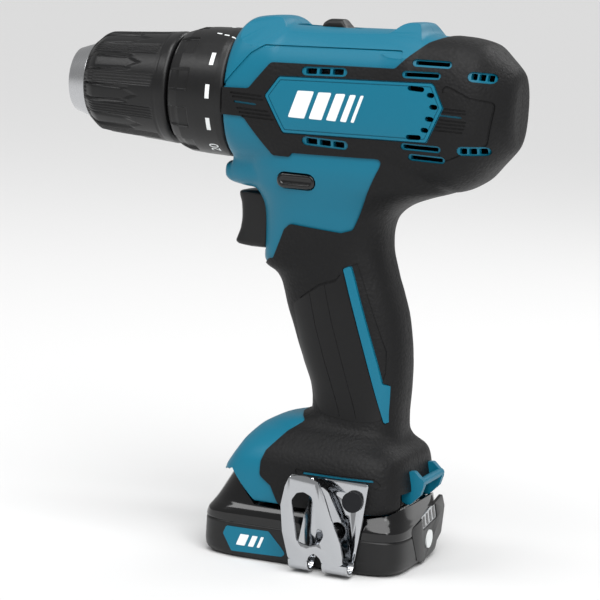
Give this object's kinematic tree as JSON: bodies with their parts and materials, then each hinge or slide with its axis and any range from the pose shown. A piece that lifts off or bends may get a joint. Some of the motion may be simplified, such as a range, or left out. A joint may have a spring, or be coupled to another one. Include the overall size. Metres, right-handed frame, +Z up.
{
  "type": "cordless drill",
  "caption": "Pistol-grip cordless drill driver: three-jaw keyless chuck, clutch ring, planetary gearbox and slide-on battery foot.",
  "frame": {"origin": "centre of the battery's flat underside, on the plane where the two housing halves meet", "axes": "+Z up; -X along the spindle towards the chuck; -Y towards the tool's left side, where the belt clip is"},
  "size_m": [0.183, 0.0716, 0.2104],
  "materials": {
    "teal_shell": "satin",
    "rubber_grip": "matte",
    "black_plastic": "satin",
    "gloss_black": "gloss",
    "chuck_steel": "turned",
    "dark_steel": "oiled",
    "gear_steel": "sintered",
    "chrome_clip": "polished",
    "screw_steel": "black oxide",
    "clip_screw_steel": "plated",
    "copper": "enamelled wire",
    "magnet": "matte",
    "carbon": "matte",
    "bearing_steel": "ground",
    "spring_steel": "wire",
    "cell_can": "sleeved",
    "board": "fibreglass",
    "clear_lens": "clear",
    "gear_case_alloy": "die cast"
  },
  "bodies": {
    "housing": {"housing_left": "teal_shell", "housing_right": "teal_shell", "grip_left": "rubber_grip", "grip_right": "rubber_grip", "housing_screws": "screw_steel", "gear_case": "gear_case_alloy", "ring_gear_1": "gear_steel", "ring_gear_3": "gear_steel", "motor_can": "dark_steel", "motor_magnets": "magnet", "motor_end_bell": "black_plastic", "carbon_brushes": "carbon", "front_bearing": "bearing_steel", "clutch_pins": "bearing_steel", "clutch_thrust_washer": "dark_steel", "clutch_spring": "spring_steel", "led_lens": "clear_lens", "switch_body": "black_plastic", "trigger_spring": "spring_steel", "terminal_block": "black_plastic", "belt_clip": "chrome_clip", "clip_screw": "clip_screw_steel", "strap_loop": "teal_shell"},
    "output": {"spindle": "chuck_steel", "chuck_body": "chuck_steel", "chuck_screw": "screw_steel"},
    "chuck_sleeve": {"chuck_sleeve": "black_plastic", "chuck_nut_ring": "dark_steel"},
    "jaw_1": {"chuck_jaw_1": "dark_steel"},
    "jaw_2": {"chuck_jaw_2": "dark_steel"},
    "jaw_3": {"chuck_jaw_3": "dark_steel"},
    "torque_ring": {"torque_ring": "black_plastic"},
    "clutch_nut": {"clutch_adjusting_nut": "dark_steel"},
    "rotor": {"armature_shaft": "dark_steel", "armature_core": "dark_steel", "armature_windings": "copper", "commutator": "copper", "motor_pinion": "gear_steel"},
    "first_carrier": {"carrier_1": "gear_steel"},
    "second_carrier": {"carrier_2": "gear_steel"},
    "speed_slide": {"speed_selector": "black_plastic", "shift_wire": "spring_steel", "ring_gear_2": "gear_steel"},
    "trigger": {"trigger": "black_plastic"},
    "direction_lever": {"direction_lever": "gloss_black"},
    "battery": {"battery_case_lower": "black_plastic", "battery_case_upper": "gloss_black", "battery_cells": "cell_can", "battery_board": "board"},
    "latch_button": {"latch_button": "black_plastic"},
    "gauge_button": {"gauge_button": "black_plastic"},
    "planet_1a": {"planet_gear_1a": "gear_steel"},
    "planet_1b": {"planet_gear_1b": "gear_steel"},
    "planet_1c": {"planet_gear_1c": "gear_steel"},
    "planet_2a": {"planet_gear_2a": "gear_steel"},
    "planet_2b": {"planet_gear_2b": "gear_steel"},
    "planet_2c": {"planet_gear_2c": "gear_steel"},
    "planet_3a": {"planet_gear_3a": "gear_steel"},
    "planet_3b": {"planet_gear_3b": "gear_steel"},
    "planet_3c": {"planet_gear_3c": "gear_steel"}
  },
  "joints": [
    {"name": "motor_spin", "type": "hinge", "parent": "housing", "child": "rotor", "pos_m": [0, 0, 0.1775], "axis": [1, 0, 0], "continuous": true},
    {"name": "first_carrier_spin", "type": "hinge", "parent": "housing", "child": "first_carrier", "pos_m": [0, 0, 0.1775], "axis": [1, 0, 0], "continuous": true},
    {"name": "second_carrier_spin", "type": "hinge", "parent": "housing", "child": "second_carrier", "pos_m": [0, 0, 0.1775], "axis": [1, 0, 0], "continuous": true},
    {"name": "spindle_spin", "type": "hinge", "parent": "housing", "child": "output", "pos_m": [0, 0, 0.1775], "axis": [1, 0, 0], "continuous": true},
    {"name": "planet_1a_spin", "type": "hinge", "parent": "first_carrier", "child": "planet_1a", "pos_m": [0, 0.01155, 0.1775], "axis": [1, 0, 0], "continuous": true},
    {"name": "planet_1b_spin", "type": "hinge", "parent": "first_carrier", "child": "planet_1b", "pos_m": [0, -0.00577, 0.1875], "axis": [1, 0, 0], "continuous": true},
    {"name": "planet_1c_spin", "type": "hinge", "parent": "first_carrier", "child": "planet_1c", "pos_m": [0, -0.00577, 0.1675], "axis": [1, 0, 0], "continuous": true},
    {"name": "planet_2a_spin", "type": "hinge", "parent": "second_carrier", "child": "planet_2a", "pos_m": [0, 0.01155, 0.1775], "axis": [1, 0, 0], "continuous": true},
    {"name": "planet_2b_spin", "type": "hinge", "parent": "second_carrier", "child": "planet_2b", "pos_m": [0, -0.00577, 0.1875], "axis": [1, 0, 0], "continuous": true},
    {"name": "planet_2c_spin", "type": "hinge", "parent": "second_carrier", "child": "planet_2c", "pos_m": [0, -0.00577, 0.1675], "axis": [1, 0, 0], "continuous": true},
    {"name": "planet_3a_spin", "type": "hinge", "parent": "output", "child": "planet_3a", "pos_m": [0, 0.01155, 0.1775], "axis": [1, 0, 0], "continuous": true},
    {"name": "planet_3b_spin", "type": "hinge", "parent": "output", "child": "planet_3b", "pos_m": [0, -0.00577, 0.1875], "axis": [1, 0, 0], "continuous": true},
    {"name": "planet_3c_spin", "type": "hinge", "parent": "output", "child": "planet_3c", "pos_m": [0, -0.00577, 0.1675], "axis": [1, 0, 0], "continuous": true},
    {"name": "sleeve_turn", "type": "hinge", "parent": "output", "child": "chuck_sleeve", "pos_m": [-0.09, 0, 0.1775], "axis": [1, 0, 0], "range_deg": [-1080, 1260]},
    {"name": "jaw_1_slide", "type": "slide", "parent": "output", "child": "jaw_1", "axis": [-0.9563, 0.2924, 0], "range_m": [-0.006, 0.007]},
    {"name": "jaw_2_slide", "type": "slide", "parent": "output", "child": "jaw_2", "axis": [-0.9563, -0.1462, 0.2532], "range_m": [-0.006, 0.007]},
    {"name": "jaw_3_slide", "type": "slide", "parent": "output", "child": "jaw_3", "axis": [-0.9563, -0.1462, -0.2532], "range_m": [-0.006, 0.007]},
    {"name": "torque_ring_turn", "type": "hinge", "parent": "housing", "child": "torque_ring", "pos_m": [-0.055, 0, 0.1775], "axis": [1, 0, 0], "range_deg": [0, 320]},
    {"name": "clutch_nut_slide", "type": "slide", "parent": "torque_ring", "child": "clutch_nut", "axis": [1, 0, 0], "range_m": [0, 0.006], "deforming": ["clutch_spring"]},
    {"name": "speed_shift", "type": "slide", "parent": "housing", "child": "speed_slide", "axis": [1, 0, 0], "range_m": [0, 0.004]},
    {"name": "trigger_pull", "type": "slide", "parent": "housing", "child": "trigger", "axis": [1, 0, 0], "range_m": [0, 0.0065], "stiffness_N_per_m": 700, "springref_m": -0.004, "deforming": ["trigger_spring"]},
    {"name": "direction_shift", "type": "slide", "parent": "housing", "child": "direction_lever", "axis": [0, 1, 0], "range_m": [-0.003, 0.003]},
    {"name": "battery_slide", "type": "slide", "parent": "housing", "child": "battery", "axis": [-1, 0, 0], "range_m": [0, 0.085]},
    {"name": "latch_press", "type": "slide", "parent": "battery", "child": "latch_button", "axis": [1, 0, 0], "range_m": [0, 0.002], "stiffness_N_per_m": 1500, "springref_m": -0.002},
    {"name": "gauge_press", "type": "slide", "parent": "battery", "child": "gauge_button", "axis": [-1, 0, 0], "range_m": [0, 0.0006], "stiffness_N_per_m": 1200, "springref_m": -0.0005}
  ],
  "couplings": [
    {"joint": "first_carrier_spin", "follows": "motor_spin", "ratio": 0.28571},
    {"joint": "second_carrier_spin", "follows": "motor_spin", "ratio": 0.081633},
    {"joint": "spindle_spin", "follows": "motor_spin", "ratio": 0.023324},
    {"joint": "planet_1a_spin", "follows": "motor_spin", "ratio": -0.95238},
    {"joint": "planet_1b_spin", "follows": "motor_spin", "ratio": -0.95238},
    {"joint": "planet_1c_spin", "follows": "motor_spin", "ratio": -0.95238},
    {"joint": "planet_2a_spin", "follows": "motor_spin", "ratio": -0.27211},
    {"joint": "planet_2b_spin", "follows": "motor_spin", "ratio": -0.27211},
    {"joint": "planet_2c_spin", "follows": "motor_spin", "ratio": -0.27211},
    {"joint": "planet_3a_spin", "follows": "motor_spin", "ratio": -0.077745},
    {"joint": "planet_3b_spin", "follows": "motor_spin", "ratio": -0.077745},
    {"joint": "planet_3c_spin", "follows": "motor_spin", "ratio": -0.077745},
    {"joint": "jaw_1_slide", "follows": "sleeve_turn", "m_per_rad": 0.0003183},
    {"joint": "jaw_2_slide", "follows": "sleeve_turn", "m_per_rad": 0.0003183},
    {"joint": "jaw_3_slide", "follows": "sleeve_turn", "m_per_rad": 0.0003183},
    {"joint": "clutch_nut_slide", "follows": "torque_ring_turn", "m_per_rad": 0.001074}
  ]
}
